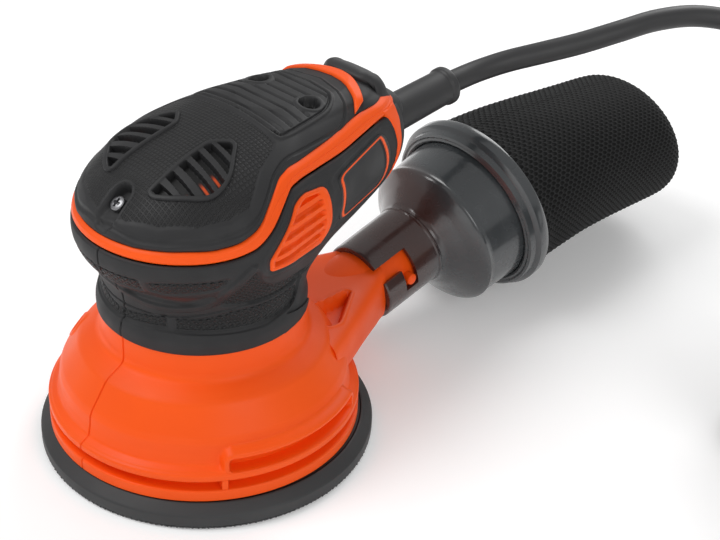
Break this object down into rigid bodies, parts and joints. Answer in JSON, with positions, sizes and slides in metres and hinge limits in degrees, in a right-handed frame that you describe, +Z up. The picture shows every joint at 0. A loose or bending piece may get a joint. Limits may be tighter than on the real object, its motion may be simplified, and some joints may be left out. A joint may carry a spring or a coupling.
{
  "type": "orbital sander",
  "caption": "Palm-grip random orbit sander with a round hook-and-loop pad, rear dust port, bayonet canister with mesh bag, rocker switch and coiled mains cord.",
  "frame": {"origin": "on the motor axis in the plane of the sanding face, which the tool stands on", "axes": "+Z up along the motor axis, away from the sanding face; +Y towards the dust canister and cord; +X to the right of the canister seen from the nose"},
  "size_m": [0.2723, 0.3287, 0.127],
  "materials": {
    "orange_shell": "moulded ABS, satin",
    "black_grip": "overmoulded elastomer, matt and textured",
    "dark_plastic": "moulded, matt",
    "brass": "stamped",
    "screw_steel": "zinc plated",
    "cord_jacket": "flexible jacket, satin",
    "plug_plastic": "moulded on",
    "plated_brass": "nickel plated",
    "machined_steel": "machined",
    "copper_winding": "enamelled copper",
    "carbon": "pressed carbon",
    "cast_alloy": "die cast",
    "grey_plastic": "glass filled nylon, matt",
    "black_rubber": "moulded rubber, matt",
    "hook_fabric": "moulded hooks",
    "pad_foam": "closed-cell polyurethane foam, matt",
    "smoked_plastic": "smoked polycarbonate, glossy",
    "bag_mesh": "woven sleeve over filter cloth"
  },
  "bodies": {
    "root": {"housing_left": "orange_shell", "housing_right": "orange_shell", "grip_left": "black_grip", "grip_right": "black_grip", "top_cover": "black_grip", "badge_left": "dark_plastic", "badge_right": "dark_plastic", "cover_screw_front": "screw_steel", "cover_screw_right": "screw_steel", "cover_screw_left": "screw_steel", "switch_body": "dark_plastic", "strain_relief": "cord_jacket", "cord": "cord_jacket", "cord_coil": "cord_jacket", "plug": "plug_plastic", "plug_blade_right": "plated_brass", "plug_blade_left": "plated_brass", "field_core": "machined_steel", "field_winding_upper": "copper_winding", "field_winding_lower": "copper_winding", "brush_holder_right": "brass", "brush_holder_left": "brass", "carbon_brush_right": "carbon", "carbon_brush_left": "carbon", "upper_bearing_outer": "machined_steel", "lower_bearing_outer": "machined_steel", "bearing_plate": "cast_alloy", "bearing_plate_screw_right": "screw_steel", "bearing_plate_screw_left": "screw_steel", "brake_ring": "black_rubber"},
    "rotor": {"motor_shaft": "machined_steel", "armature_core": "machined_steel", "armature_winding": "copper_winding", "commutator": "copper_winding", "upper_bearing_inner": "machined_steel", "lower_bearing_inner": "machined_steel", "fan": "grey_plastic", "eccentric_hub": "cast_alloy", "counterweight": "machined_steel", "pad_bearing_outer": "machined_steel"},
    "pad": {"hook_face": "hook_fabric", "pad_foam": "pad_foam", "platen": "grey_plastic", "pad_spindle": "machined_steel", "pad_bearing_inner": "machined_steel", "pad_screw_1": "screw_steel", "pad_screw_2": "screw_steel", "pad_screw_3": "screw_steel"},
    "switch": {"switch_rocker": "black_rubber"},
    "canister": {"canister_funnel": "smoked_plastic"},
    "bag": {"dust_bag": "bag_mesh"}
  },
  "joints": [
    {"name": "rotor_spin", "type": "hinge", "parent": "root", "child": "rotor", "pos_m": [0, 0, 0.06], "axis": [0, 0, 1], "continuous": true},
    {"name": "pad_spin", "type": "hinge", "parent": "rotor", "child": "pad", "pos_m": [0, 0.0012, 0.01], "axis": [0, 0, 1], "continuous": true},
    {"name": "switch_rock", "type": "hinge", "parent": "root", "child": "switch", "pos_m": [0, 0.0755, 0.1176], "axis": [1, 0, 0], "range_deg": [0, 8]},
    {"name": "canister_twist", "type": "hinge", "parent": "root", "child": "canister", "pos_m": [0, 0.0837, 0.0309], "axis": [0, 0.9681, 0.2504], "range_deg": [-17.5, 0]},
    {"name": "bag_twist", "type": "hinge", "parent": "canister", "child": "bag", "pos_m": [0, 0.14771, 0.04301], "axis": [0, 0.9681, 0.2504], "range_deg": [0, 15]}
  ]
}
